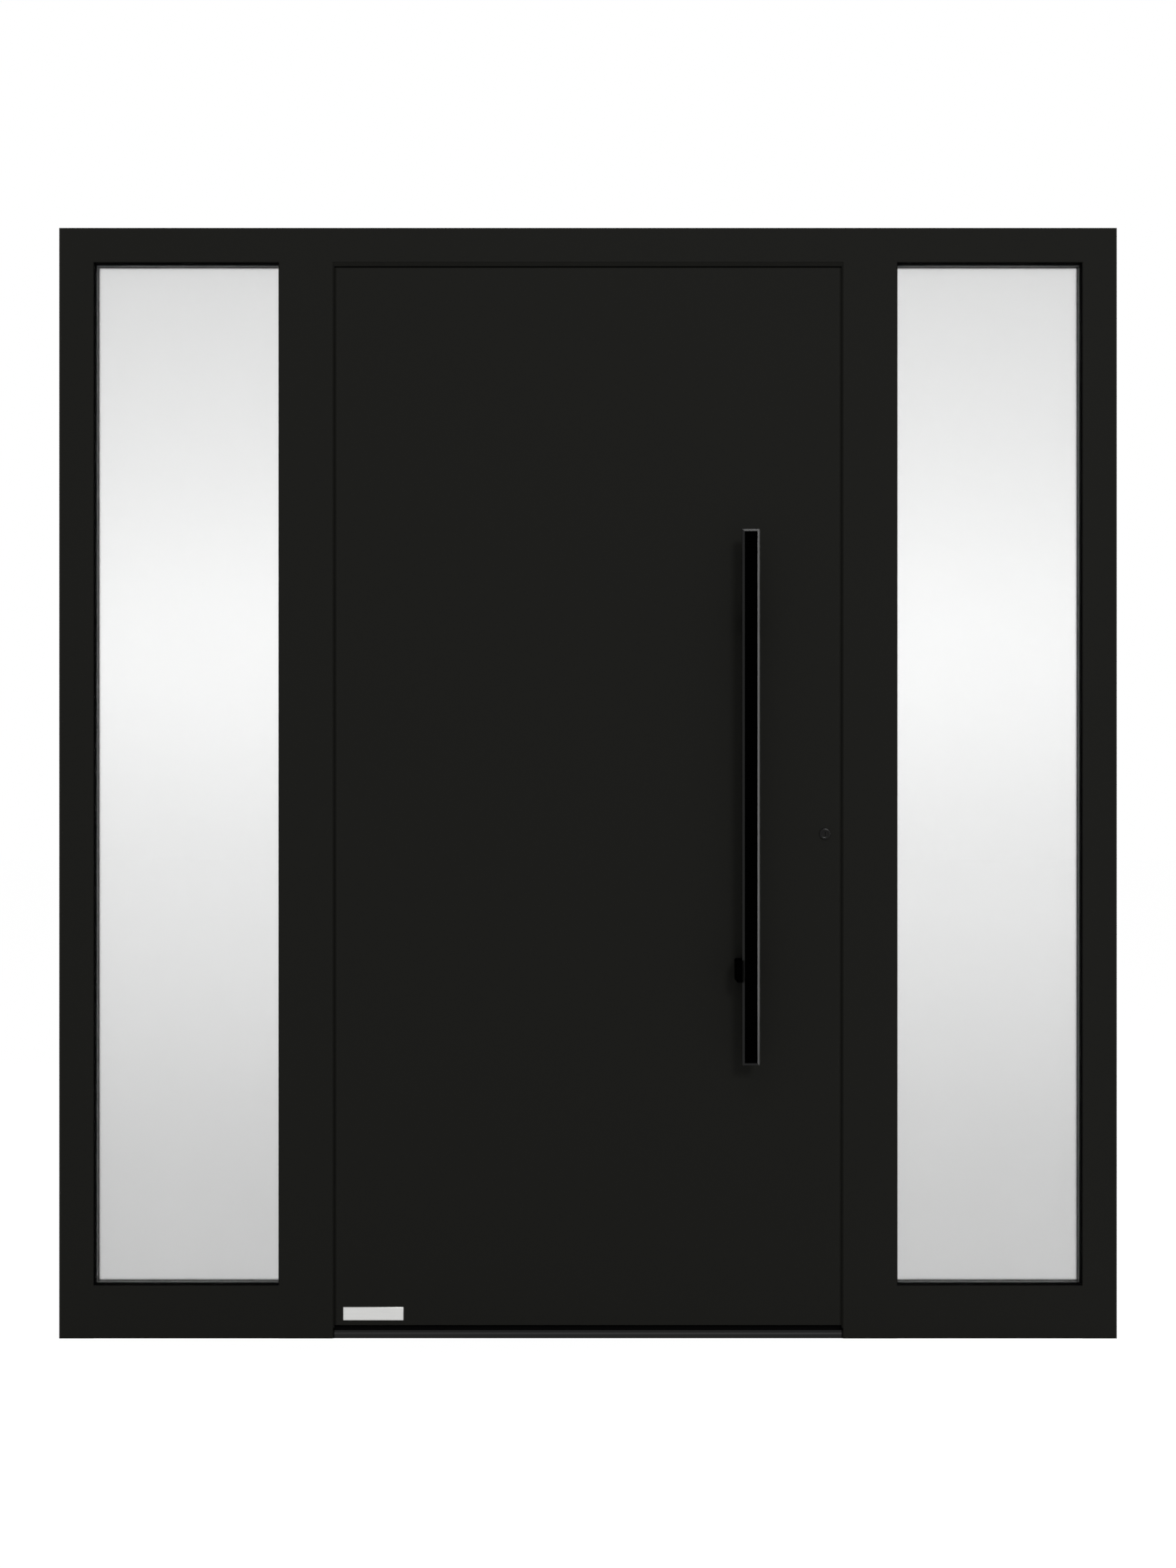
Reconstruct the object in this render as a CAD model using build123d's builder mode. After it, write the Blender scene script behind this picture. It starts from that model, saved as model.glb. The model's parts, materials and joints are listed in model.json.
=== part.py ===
"""Entrance door with two fixed sidelights, in thermally broken aluminium.

Seen from outside: a flush leaf hung at the left, a long pull bar and a lock cylinder at its right,
and a tall light of satin glass on each side, all in one frame.
Frame of the model: X to the right seen from outside, Y from outside to inside, Z up. The origin is
on the underside of the threshold, in the middle of the frame's width and depth. Millimetres.
"""

import os

from build123d import *

# Frame sizes
frame_width = 2000.0
frame_height = 2100.0
frame_depth = 80.0
frame_face = 65.0  # jambs and head, seen from outside
mullion_face = 102.0
bottom_rail_face = 100.0
door_opening = 965.0  # between the outer lips of the two mullions
lip = 20.0  # reach of the outer shell over the leaf and over the glass
outer_shell_depth = 24.0
inner_shell_depth = 32.0
profile_wall = 2.0
profile_edge = 0.8
break_bar = 4.0
break_recess = 1.0
joint_play = 0.3  # between pieces that are laid beside each other

# Threshold sizes
threshold_height = 20.0
threshold_nose = 15.0
threshold_rib = 10.0
threshold_rib_depth = 2.5
threshold_channel = 9.0  # floor of the water channel behind the nose
threshold_nose_depth = 5.0
threshold_ridge = 6.0
threshold_break_depth = 12.0
threshold_bevel = 6.0
threshold_end_gap = 3.0
threshold_end_inset = 6.0  # from the frame's outside to the pads that close the end gaps

# Sidelight sizes
glazing_gasket = 4.0
gasket_band = 10.0
pane = 6.0
spacer_depth = 16.0
spacer_band = 7.0
spacer_inset = 8.5
glass_play = 4.0  # between the unit's edge and the rebate
bead_slope = 14.0

# Leaf sizes
leaf_thickness = 74.0
leaf_side_gap = 6.0
leaf_top_gap = 10.0
leaf_bottom_gap = 5.0
flange_side_gap = 7.0
flange_top_gap = 6.0
seal_room = 8.0  # between the frame's lip and the leaf's flange
leaf_break = 18.0
outer_skin = 3.0
inner_skin = 2.0
skin_edge = 1.0
seal_play = 0.5
door_seal_inset = 3.0
door_seal_band = 8.0
door_seal_edge = 2.5
bottom_seal_width = 14.0
bottom_seal_inset = 4.0

# Pull bar sizes
bar_length = 1000.0
bar_width = 32.0
bar_depth = 20.0
bar_chamfer = 4.0
bar_back_edge = 2.0
bar_reach = 70.0  # from the leaf to the bar's front
bar_from_edge = 172.5  # from the leaf's lock edge to the bar's middle
bar_bottom = 524.0
standoff_inset = 175.0
standoff_width = 20.0
standoff_height = 41.0
standoff_edge = 2.0
cheek_width = 11.0  # of the lower standoff, beside the bar
inlay_depth = 1.0

# Lock sizes
lock_backset = 47.5
cylinder_height = 954.0
cylinder_radius = 8.5
cylinder_web = 10.0
cylinder_drop = 24.5
cylinder_proud = 3.0
cylinder_play = 0.2
head_radius = 10.5  # of the cylinder's round head, on the outside
head_edge = 0.6
dish_rim = 2.1  # round the hollow in each end of the cylinder
dish_depth = 1.2
keyway_width = 2.0
keyway_height = 8.0
keyway_depth = 3.0
faceplate_width = 20.0
faceplate_inset = 150.0  # from each end of the leaf's edge
hook_inset = 140.0  # from each end of the faceplate to the middle of a hook bolt
dead_bolt_drop = 30.0  # from the cylinder down to the middle of the dead bolt
latch_rise = 56.0  # from the cylinder up to the middle of the latch
bolt_length = 60.0
latch_length = 36.0
bolt_thickness = 12.0
bolt_proud = 1.0
keep_margin = 22.0

# Inside furniture sizes
lever_rise = 93.0  # from the cylinder up to the lever
lever_width = 20.0
lever_thickness = 10.0
lever_edge = 2.0
lever_reach = 58.0  # from the leaf to the middle of the grip
lever_length = 132.0
lever_bend = 16.0
lever_end = 1.5
rosette_radius = 27.0
rosette_depth = 8.0
rosette_edge = 1.5

# Hinge sizes
hinge_inset = 235.0  # from each end of the leaf to the middle of a hinge
hinge_axis_gap = 3.0  # from the mullion's rebate to the axis, towards the leaf
hinge_axis_out = 14.0  # from the frame's inside face to the axis
hinge_barrel_radius = 11.0
hinge_pin_radius = 5.0
hinge_pin_play = 0.3
hinge_length = 104.0
hinge_middle = 40.0
hinge_gap = 1.0
hinge_block_width = 44.0
hinge_block_gap = 13.0  # from the axis to the near side of each block
hinge_block_edge = 2.0
hinge_cap = 3.0

# Fixing holes for the frame screws
fixing_radius = 4.0
jamb_fixing_inset = 150.0  # from each end of the jamb
jamb_fixing_count = 4
head_fixing_inset = 400.0  # from each end of the head

# Places across the depth
outside = -frame_depth / 2
inside = frame_depth / 2
lip_back = outside + outer_shell_depth
inner_front = inside - inner_shell_depth
leaf_step = lip_back + seal_room
leaf_break_back = leaf_step + leaf_break
leaf_back = outside + leaf_thickness
glass_front = lip_back + glazing_gasket
inner_pane_front = glass_front + pane + spacer_depth
glass_back = inner_pane_front + pane
bead_front = glass_back + glazing_gasket
fixing_depth = (inner_front + inside) / 2

# Places across the width, as distances from the middle
half_width = frame_width / 2
jamb_lip = half_width - frame_face
jamb_wall = jamb_lip + lip
door_lip = door_opening / 2
door_wall = door_lip + lip
light_lip = door_lip + mullion_face
light_wall = light_lip - lip
leaf_half = door_lip - leaf_side_gap
flange_half = door_wall - flange_side_gap

# Heights
head_lip = frame_height - frame_face
head_wall = head_lip + lip
rail_lip = bottom_rail_face
rail_wall = bottom_rail_face - lip
leaf_bottom = threshold_height + leaf_bottom_gap
leaf_top = head_lip - leaf_top_gap
flange_top = head_wall - flange_top_gap
lever_height = cylinder_height + lever_rise
latch_height = cylinder_height + latch_rise
faceplate_bottom = leaf_bottom + faceplate_inset
faceplate_top = flange_top - faceplate_inset
bolt_heights = (faceplate_bottom + hook_inset, cylinder_height - dead_bolt_drop, faceplate_top - hook_inset)
hinge_heights = (leaf_bottom + hinge_inset, (leaf_bottom + leaf_top) / 2, leaf_top - hinge_inset)
jamb_fixing_step = (frame_height - 2 * jamb_fixing_inset) / (jamb_fixing_count - 1)
jamb_fixing_heights = [jamb_fixing_inset + n * jamb_fixing_step for n in range(jamb_fixing_count)]

# Places of the fittings
lock_x = flange_half - lock_backset
head_back = outside + outer_skin
head_front = outside - cylinder_proud
bar_x = leaf_half - bar_from_edge
bar_front = outside - bar_reach
bar_back = bar_front + bar_depth
standoff_heights = (bar_bottom + standoff_inset, bar_bottom + bar_length - standoff_inset)
hinge_x = -(door_wall - hinge_axis_gap)
hinge_y = inside + hinge_axis_out
faceplate_y = (leaf_break_back + leaf_back) / 2
light_middle = (jamb_wall + light_wall) / 2

SIDES = (("left", -1), ("right", 1))

finished = {}


def keep(name, piece):
    """Store a finished piece under its node's name."""
    piece.part.label = name
    finished[name] = piece.part


def block(x_span, y_span, z_span, mode=Mode.ADD):
    """A box between the given places, added to or taken from the piece that is being made."""
    (x_low, x_high), (y_low, y_high), (z_low, z_high) = sorted(x_span), sorted(y_span), sorted(z_span)
    with Locations(((x_low + x_high) / 2, (y_low + y_high) / 2, (z_low + z_high) / 2)):
        return Box(x_high - x_low, y_high - y_low, z_high - z_low, mode=mode)


def hollow_upright(x_span, y_span, z_span):
    """Add an upright hollow profile, open at its ends, to the piece that is being made."""
    x_low, x_high = sorted(x_span)
    y_low, y_high = y_span
    z_low, z_high = z_span
    with BuildSketch(Plane.XY.offset(z_low)) as section:
        with Locations(((x_low + x_high) / 2, (y_low + y_high) / 2)):
            profile_outline = Rectangle(x_high - x_low, y_high - y_low)
            chamfer(profile_outline.vertices(), profile_edge)
            chamber = (x_high - x_low - 2 * profile_wall, y_high - y_low - 2 * profile_wall)
            Rectangle(*chamber, mode=Mode.SUBTRACT)
    extrude(to_extrude=section.sketch, amount=z_high - z_low)


def hollow_rail(x_span, y_span, z_span):
    """Add a hollow profile that lies across the frame, open at its ends, to the piece that is being made."""
    x_low, x_high = sorted(x_span)
    y_low, y_high = y_span
    z_low, z_high = z_span
    with BuildSketch(Plane.YZ.offset(x_low)) as section:
        with Locations(((y_low + y_high) / 2, (z_low + z_high) / 2)):
            profile_outline = Rectangle(y_high - y_low, z_high - z_low)
            chamfer(profile_outline.vertices(), profile_edge)
            chamber = (y_high - y_low - 2 * profile_wall, z_high - z_low - 2 * profile_wall)
            Rectangle(*chamber, mode=Mode.SUBTRACT)
    extrude(to_extrude=section.sketch, amount=x_high - x_low)


def mitre_plane(side):
    """The cut between a jamb and the head, facing up and towards the middle of the door."""
    return Plane(origin=(side * half_width, 0, frame_height), z_dir=(-side, 0, 1))


def outline_loop(x_middle, z_middle, width, height, band):
    """Draw a rectangular band on the sketch that is being made."""
    with Locations((x_middle, z_middle)):
        Rectangle(width, height)
        Rectangle(width - 2 * band, height - 2 * band, mode=Mode.SUBTRACT)


def facing(y):
    """The plane across the door at this depth. It faces outside."""
    return Plane.XZ.offset(-y)


def cylinder_outline(play):
    """The outline of the lock cylinder, a round body over a narrow web, grown by this play."""
    web_radius = cylinder_web / 2
    web_length = cylinder_drop - web_radius
    with BuildSketch(Plane.XY) as outline:
        Circle(cylinder_radius + play)
        with Locations((0, -web_length / 2)):
            Rectangle(cylinder_web + 2 * play, web_length)
        with Locations((0, -web_length)):
            Circle(web_radius + play)
    return outline.sketch


def cylinder_cut(y_front, y_back):
    """Cut the way of the lock cylinder through the piece that is being made."""
    with BuildSketch(facing(y_back)) as way:
        with Locations((lock_x, cylinder_height)):
            add(cylinder_outline(cylinder_play))
    extrude(to_extrude=way.sketch, amount=y_back - y_front, mode=Mode.SUBTRACT)


# Jambs, mitred to the head, with the holes of the frame screws
for side_name, side in SIDES:
    with BuildPart() as jamb_outer:
        hollow_upright((side * half_width, side * jamb_lip), (outside, lip_back), (0, frame_height))
        split(bisect_by=mitre_plane(side), keep=Keep.BOTTOM)
    keep(f"{side_name}_jamb_outer", jamb_outer)

    with BuildPart() as jamb_inner:
        hollow_upright((side * half_width, side * jamb_wall), (inner_front, inside), (0, frame_height))
        split(bisect_by=mitre_plane(side), keep=Keep.BOTTOM)
        for height in jamb_fixing_heights:
            with Locations(Plane(origin=(side * half_width, fixing_depth, height), z_dir=(side, 0, 0))):
                Hole(fixing_radius, depth=frame_face)
    keep(f"{side_name}_jamb_inner", jamb_inner)

# Head
with BuildPart() as head_outer:
    hollow_rail((-half_width, half_width), (outside, lip_back), (head_lip, frame_height))
    for side_name, side in SIDES:
        split(bisect_by=mitre_plane(side), keep=Keep.TOP)
keep("head_outer", head_outer)

with BuildPart() as head_inner:
    hollow_rail((-half_width, half_width), (inner_front, inside), (head_wall, frame_height))
    for side_name, side in SIDES:
        split(bisect_by=mitre_plane(side), keep=Keep.TOP)
    for side_name, side in SIDES:
        with Locations((side * (half_width - head_fixing_inset), fixing_depth, frame_height)):
            Hole(fixing_radius, depth=frame_face)
keep("head_inner", head_inner)

# Mullions, butted under the head, and the rails under the sidelights
for side_name, side in SIDES:
    with BuildPart() as mullion_outer:
        hollow_upright((side * door_lip, side * light_lip), (outside, lip_back), (0, head_lip))
    keep(f"{side_name}_mullion_outer", mullion_outer)

    with BuildPart() as rail_outer:
        hollow_rail((side * light_lip, side * jamb_lip), (outside, lip_back), (0, rail_lip))
    keep(f"{side_name}_bottom_rail_outer", rail_outer)

    with BuildPart() as rail_inner:
        hollow_rail((side * light_wall, side * jamb_wall), (inner_front, inside), (0, rail_wall))
    keep(f"{side_name}_bottom_rail_inner", rail_inner)

with BuildPart() as left_mullion_inner:
    hollow_upright((-door_wall, -light_wall), (inner_front, inside), (0, head_wall))
keep("left_mullion_inner", left_mullion_inner)

# Keeps of the lock, let into the rebate of the right mullion
keep_spans = [(h - bolt_length / 2 - keep_margin, h + bolt_length / 2 + keep_margin) for h in bolt_heights]
keep_spans[1] = (keep_spans[1][0], latch_height + latch_length / 2 + keep_margin)
keep_y = (faceplate_y - faceplate_width / 2, faceplate_y + faceplate_width / 2)
bolt_y = (faceplate_y - bolt_thickness / 2, faceplate_y + bolt_thickness / 2)
bolt_spans = [(h - bolt_length / 2, h + bolt_length / 2) for h in bolt_heights]
bolt_spans.append((latch_height - latch_length / 2, latch_height + latch_length / 2))

with BuildPart() as right_mullion_inner:
    hollow_upright((door_wall, light_wall), (inner_front, inside), (0, head_wall))
    for low, high in keep_spans:
        window_y = (keep_y[0] - joint_play, keep_y[1] + joint_play)
        window_z = (low - joint_play, high + joint_play)
        block((door_wall, door_wall + profile_wall), window_y, window_z, Mode.SUBTRACT)
keep("right_mullion_inner", right_mullion_inner)

with BuildPart() as strike_plates:
    for low, high in keep_spans:
        block((door_wall, door_wall + profile_wall), keep_y, (low, high))
    for low, high in bolt_spans:
        slot_z = (low - bolt_proud, high + bolt_proud)
        block((door_wall, door_wall + profile_wall), bolt_y, slot_z, Mode.SUBTRACT)
keep("strike_plates", strike_plates)

# Insulating bars between the outer and inner shells
with BuildPart() as frame_thermal_breaks:
    break_y = (lip_back, inner_front)
    head_bars = (head_wall + break_recess, frame_height - break_recess - break_bar)
    for low in head_bars:
        reach = half_width - break_recess if low > head_wall + lip else jamb_wall
        block((-reach, reach), break_y, (low, low + break_bar))
    for side_name, side in SIDES:
        jamb_bars = (half_width - break_recess - break_bar, jamb_wall + break_recess)
        for near in jamb_bars:
            block((side * near, side * (near + break_bar)), break_y, (0, head_bars[1] - joint_play))
        mullion_bars = (door_wall + break_recess, light_wall - break_recess - break_bar)
        for near in mullion_bars:
            block((side * near, side * (near + break_bar)), break_y, (0, head_wall))
        for low in (break_recess, rail_wall - break_recess - break_bar):
            block((side * light_wall, side * jamb_wall), break_y, (low, low + break_bar))
keep("frame_thermal_breaks", frame_thermal_breaks)

# Threshold between the mullions: a ribbed nose with a water channel, an insulating ridge with pads
# that close the ends of the nose, and a bevelled inner part
channel_front = outside + threshold_rib_depth + threshold_nose_depth
rib_low = (threshold_nose - threshold_rib) / 2
rib_high = rib_low + threshold_rib
nose_half = door_lip - threshold_end_gap
nose_y = outside + threshold_rib_depth
ridge_y = lip_back - threshold_ridge
threshold_inner_front = lip_back + threshold_break_depth
with BuildPart() as threshold_outer:
    with BuildSketch(Plane.YZ.offset(-nose_half)):
        with BuildLine():
            Polyline((nose_y, rib_low), (nose_y, 0), (ridge_y, 0), (ridge_y, threshold_channel))
            Polyline((ridge_y, threshold_channel), (channel_front, threshold_channel))
            Polyline((channel_front, threshold_channel), (channel_front, threshold_nose))
            Polyline((channel_front, threshold_nose), (nose_y, threshold_nose), (nose_y, rib_high))
            ThreePointArc((nose_y, rib_high), (outside, (rib_low + rib_high) / 2), (nose_y, rib_low))
        make_face()
    extrude(amount=2 * nose_half)
keep("threshold_outer", threshold_outer)

with BuildPart() as threshold_break:
    break_top = threshold_height - break_recess
    block((-door_wall, door_wall), (lip_back, threshold_inner_front), (0, break_top))
    block((-door_lip, door_lip), (ridge_y, lip_back), (0, threshold_height))
    for side_name, side in SIDES:
        pad_x = (side * nose_half, side * door_lip)
        block(pad_x, (outside + threshold_end_inset, ridge_y), (0, threshold_nose))
keep("threshold_break", threshold_break)

with BuildPart() as threshold_inner:
    block((-door_wall, door_wall), (threshold_inner_front, inside), (0, threshold_height))
    top_edges = threshold_inner.edges().filter_by(Axis.X).group_by(Axis.Z)[-1]
    chamfer(top_edges.sort_by(Axis.Y)[-1], threshold_bevel)
keep("threshold_inner", threshold_inner)

# Sidelights: two panes on a spacer, gaskets on both faces and sloped, mitred beads on the inside
pocket_width = jamb_wall - light_wall
pocket_height = head_wall - rail_wall
pocket_middle = (rail_wall + head_wall) / 2
unit_width = pocket_width - 2 * glass_play
unit_height = pocket_height - 2 * glass_play
sight_width = pocket_width - 2 * lip
sight_height = pocket_height - 2 * lip
for side_name, side in SIDES:
    middle = side * light_middle
    pane_x = (middle - unit_width / 2, middle + unit_width / 2)
    pane_z = (pocket_middle - unit_height / 2, pocket_middle + unit_height / 2)

    with BuildPart() as outer_pane:
        block(pane_x, (glass_front, glass_front + pane), pane_z)
    keep(f"{side_name}_outer_pane", outer_pane)

    with BuildPart() as inner_pane:
        block(pane_x, (inner_pane_front, glass_back), pane_z)
    keep(f"{side_name}_inner_pane", inner_pane)

    with BuildPart() as spacer:
        spacer_width = unit_width - 2 * spacer_inset
        spacer_height = unit_height - 2 * spacer_inset
        with BuildSketch(facing(inner_pane_front)):
            outline_loop(middle, pocket_middle, spacer_width, spacer_height, spacer_band)
        extrude(amount=spacer_depth)
    keep(f"{side_name}_spacer", spacer)

    with BuildPart() as gaskets:
        gasket_width = sight_width + 2 * gasket_band
        gasket_height = sight_height + 2 * gasket_band
        for back in (glass_front, bead_front):
            with BuildSketch(facing(back)):
                outline_loop(middle, pocket_middle, gasket_width, gasket_height, gasket_band)
            extrude(amount=glazing_gasket)
    keep(f"{side_name}_glazing_gaskets", gaskets)

    with BuildPart() as beads:
        with BuildSketch(facing(inside)):
            outline_loop(middle, pocket_middle, pocket_width, pocket_height, lip)
        extrude(amount=inside - bead_front)
        sight_edges = beads.faces().sort_by(Axis.Y)[-1].inner_wires()[0].edges()
        chamfer(sight_edges, bead_slope)
        for x_side in (-1, 1):
            for z_side in (-1, 1):
                corner_x = middle + x_side * (pocket_width - lip) / 2
                corner_z = pocket_middle + z_side * (pocket_height - lip) / 2
                mitre = (0, x_side * z_side * 45, 0)
                with Locations(Location((corner_x, (bead_front + inside) / 2, corner_z), mitre)):
                    Box(joint_play, inside - bead_front, 2 * lip, mode=Mode.SUBTRACT)
    keep(f"{side_name}_glazing_beads", beads)

# Seal of the door, on the back of the lips beside and over the leaf
with BuildPart() as door_seal:
    seal_inner = door_lip + door_seal_inset
    seal_outer = seal_inner + door_seal_band
    seal_bottom = threshold_height + seal_play
    seal_low_top = head_lip + door_seal_inset
    seal_top = seal_low_top + door_seal_band
    with BuildSketch(facing(leaf_step - seal_play)):
        with Locations((0, (seal_bottom + seal_top) / 2)):
            Rectangle(2 * seal_outer, seal_top - seal_bottom)
        with Locations((0, (seal_bottom + seal_low_top) / 2)):
            Rectangle(2 * seal_inner, seal_low_top - seal_bottom, mode=Mode.SUBTRACT)
    extrude(amount=seal_room - seal_play)
    bulb_edges = door_seal.faces().sort_by(Axis.Y)[-1].edges()
    fillet(bulb_edges.filter_by(lambda e: e.length > 2 * door_seal_band), door_seal_edge)
keep("door_seal", door_seal)

# Leaf: an outer skin flush with the frame, an insulating core and a wider inner skin
with BuildPart() as leaf_outer_skin:
    block((-leaf_half, leaf_half), (outside, leaf_step), (leaf_bottom, leaf_top))
    chamfer(leaf_outer_skin.faces().sort_by(Axis.Y)[0].edges(), skin_edge)
    offset(amount=-outer_skin, openings=leaf_outer_skin.faces().sort_by(Axis.Y)[-1])
    with BuildSketch(facing(head_back)):
        with Locations((lock_x, cylinder_height)):
            Circle(head_radius + cylinder_play)
    extrude(amount=outer_skin, mode=Mode.SUBTRACT)
keep("leaf_outer_skin", leaf_outer_skin)

with BuildPart() as leaf_inner_skin:
    block((-flange_half, flange_half), (leaf_break_back, leaf_back), (leaf_bottom, flange_top))
    chamfer(leaf_inner_skin.faces().sort_by(Axis.Y)[-1].edges(), skin_edge)
    offset(amount=-inner_skin, openings=leaf_inner_skin.faces().sort_by(Axis.Y)[0])
    cylinder_cut(leaf_break_back, leaf_back)
    slot_y = (keep_y[0] - joint_play, keep_y[1] + joint_play)
    slot_z = (faceplate_bottom - joint_play, faceplate_top + joint_play)
    block((flange_half - inner_skin, flange_half), slot_y, slot_z, Mode.SUBTRACT)
keep("leaf_inner_skin", leaf_inner_skin)

with BuildPart() as leaf_core:
    outer_x = (-leaf_half + outer_skin, leaf_half - outer_skin)
    outer_z = (leaf_bottom + outer_skin, leaf_top - outer_skin)
    block(outer_x, (outside + outer_skin, leaf_step), outer_z)
    block((-flange_half, flange_half), (leaf_step, leaf_break_back), (leaf_bottom, flange_top))
    inner_x = (-flange_half + inner_skin, flange_half - inner_skin)
    inner_z = (leaf_bottom + inner_skin, flange_top - inner_skin)
    block(inner_x, (leaf_break_back, leaf_back - inner_skin), inner_z)
    cylinder_cut(outside, leaf_back)
keep("leaf_core", leaf_core)

with BuildPart() as leaf_bottom_seal:
    seal_half = flange_half - bottom_seal_inset
    seal_tip = threshold_height + seal_play
    block((-seal_half, seal_half), (leaf_step, leaf_step + bottom_seal_width), (seal_tip, leaf_bottom))
    tip_edges = leaf_bottom_seal.edges().filter_by(Axis.X).group_by(Axis.Z)[0]
    fillet(tip_edges, (leaf_bottom_gap - seal_play) / 2)
keep("leaf_bottom_seal", leaf_bottom_seal)

# Lock: faceplate and bolt ends in the leaf's edge, and the cylinder through the leaf
with BuildPart() as lock_faceplate:
    plate_x = (flange_half - inner_skin, flange_half)
    block(plate_x, keep_y, (faceplate_bottom, faceplate_top))
    for low, high in bolt_spans:
        window_y = (bolt_y[0] - joint_play, bolt_y[1] + joint_play)
        block(plate_x, window_y, (low - joint_play, high + joint_play), Mode.SUBTRACT)
keep("lock_faceplate", lock_faceplate)

with BuildPart() as lock_bolts:
    for low, high in bolt_spans:
        block((flange_half - inner_skin, flange_half + bolt_proud), bolt_y, (low, high))
keep("lock_bolts", lock_bolts)

with BuildPart() as lock_cylinder:
    cylinder_back = leaf_back + rosette_depth + cylinder_proud
    with BuildSketch(facing(cylinder_back)):
        with Locations((lock_x, cylinder_height)):
            add(cylinder_outline(0))
    extrude(amount=cylinder_back - head_back)
    with BuildSketch(facing(head_back)):
        with Locations((lock_x, cylinder_height)):
            Circle(head_radius)
    extrude(amount=head_back - head_front)
    chamfer(lock_cylinder.faces().sort_by(Axis.Y)[0].edges(), head_edge)
    keyway_x = (lock_x - keyway_width / 2, lock_x + keyway_width / 2)
    keyway_z = (cylinder_height - keyway_height / 2, cylinder_height + keyway_height / 2)
    for face, inward, end_radius in ((head_front, 1, head_radius), (cylinder_back, -1, cylinder_radius)):
        with Locations(Plane(origin=(lock_x, face, cylinder_height), z_dir=(0, -inward, 0))):
            Hole(end_radius - dish_rim, depth=dish_depth)
        keyway_end = face + inward * (dish_depth + keyway_depth)
        block(keyway_x, (face, keyway_end), keyway_z, Mode.SUBTRACT)
keep("lock_cylinder", lock_cylinder)

# Pull bar on the outside, with a dark inlay along its front
with BuildPart() as pull_bar:
    bar_top = bar_bottom + bar_length
    bar_span = (bar_x - bar_width / 2, bar_x + bar_width / 2)
    block(bar_span, (bar_front, bar_back), (bar_bottom, bar_top))
    fillet(pull_bar.faces().sort_by(Axis.Y)[-1].edges(), bar_back_edge)
    chamfer(pull_bar.faces().sort_by(Axis.Y)[0].edges(), bar_chamfer)
    inlay_x = (bar_span[0] + bar_chamfer, bar_span[1] - bar_chamfer)
    inlay_z = (bar_bottom + bar_chamfer, bar_top - bar_chamfer)
    block(inlay_x, (bar_front, bar_front + inlay_depth), inlay_z, Mode.SUBTRACT)
keep("pull_bar", pull_bar)

with BuildPart() as pull_bar_inlay:
    block(inlay_x, (bar_front, bar_front + inlay_depth), inlay_z)
keep("pull_bar_inlay", pull_bar_inlay)

with BuildPart() as pull_bar_standoffs:
    for height in standoff_heights:
        with BuildSketch(facing(outside)):
            with Locations((bar_x, height)):
                standoff_outline = Rectangle(standoff_width, standoff_height)
            chamfer(standoff_outline.vertices(), standoff_edge)
        extrude(amount=outside - bar_back)
    cheek_z = (standoff_heights[0] - standoff_height / 2, standoff_heights[0] + standoff_height / 2)
    cheek_x = (bar_span[0] - cheek_width, bar_span[0] - joint_play)
    block(cheek_x, (outside, bar_front), cheek_z)
    block((cheek_x[0], bar_x), (outside, bar_back), cheek_z)
    chamfer(pull_bar_standoffs.edges().filter_by(Axis.Y).sort_by(Axis.X)[:2], standoff_edge)
keep("pull_bar_standoffs", pull_bar_standoffs)

# Furniture on the inside: a lever bent from flat bar and two round rosettes
with BuildPart() as inside_lever:
    neck_front = leaf_back + rosette_depth
    grip_y = leaf_back + lever_reach
    with BuildLine() as lever_path:
        FilletPolyline(
            (lock_x, neck_front, lever_height),
            (lock_x, grip_y, lever_height),
            (lock_x - lever_length, grip_y, lever_height),
            radius=lever_bend,
        )
    with BuildSketch(facing(neck_front)):
        with Locations((lock_x, lever_height)):
            flat_bar = Rectangle(lever_thickness, lever_width)
        chamfer(flat_bar.vertices(), lever_edge)
    sweep(path=lever_path.line)
    chamfer(inside_lever.faces().sort_by(Axis.X)[0].edges(), lever_end)
keep("inside_lever", inside_lever)

with BuildPart() as inside_rosettes:
    for height in (lever_height, cylinder_height):
        with BuildSketch(facing(leaf_back + rosette_depth)):
            with Locations((lock_x, height)):
                Circle(rosette_radius)
        extrude(amount=rosette_depth)
    rims = inside_rosettes.faces().filter_by(Axis.Y).group_by(Axis.Y)[-1].edges()
    chamfer(rims, rosette_edge)
    cylinder_cut(leaf_back, leaf_back + rosette_depth)
keep("inside_rosettes", inside_rosettes)

# Hinges on the inside: a middle knuckle on the frame between two knuckles on the leaf
hinge_middle_span = hinge_middle / 2
hinge_end = hinge_length / 2
block_back = hinge_y - hinge_gap


def knuckle(z_low, z_high):
    """A round knuckle on the hinge axis, added to the piece that is being made."""
    with Locations((hinge_x, hinge_y, (z_low + z_high) / 2)):
        Cylinder(hinge_barrel_radius, z_high - z_low)


def pin_bore(z_low, z_high):
    """The pin's way through a knuckle of the piece that is being made."""
    with Locations((hinge_x, hinge_y, (z_low + z_high) / 2)):
        Cylinder(hinge_pin_radius + hinge_pin_play, z_high - z_low, mode=Mode.SUBTRACT)


with BuildPart() as frame_hinge_leaves:
    for height in hinge_heights:
        low, high = height - hinge_middle_span, height + hinge_middle_span
        near = hinge_x - hinge_block_gap
        block_z = (height - hinge_end, height + hinge_end)
        block((near - hinge_block_width, near), (inside, block_back), block_z)
        knuckle(low, high)
        block((near, hinge_x), (hinge_y - hinge_barrel_radius, block_back), (low, high))
        pin_bore(low, high)
    upright_edges = frame_hinge_leaves.edges().filter_by(Axis.Z).sort_by(Axis.X)
    chamfer(upright_edges[: len(hinge_heights)], hinge_block_edge)
keep("frame_hinge_leaves", frame_hinge_leaves)

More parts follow.
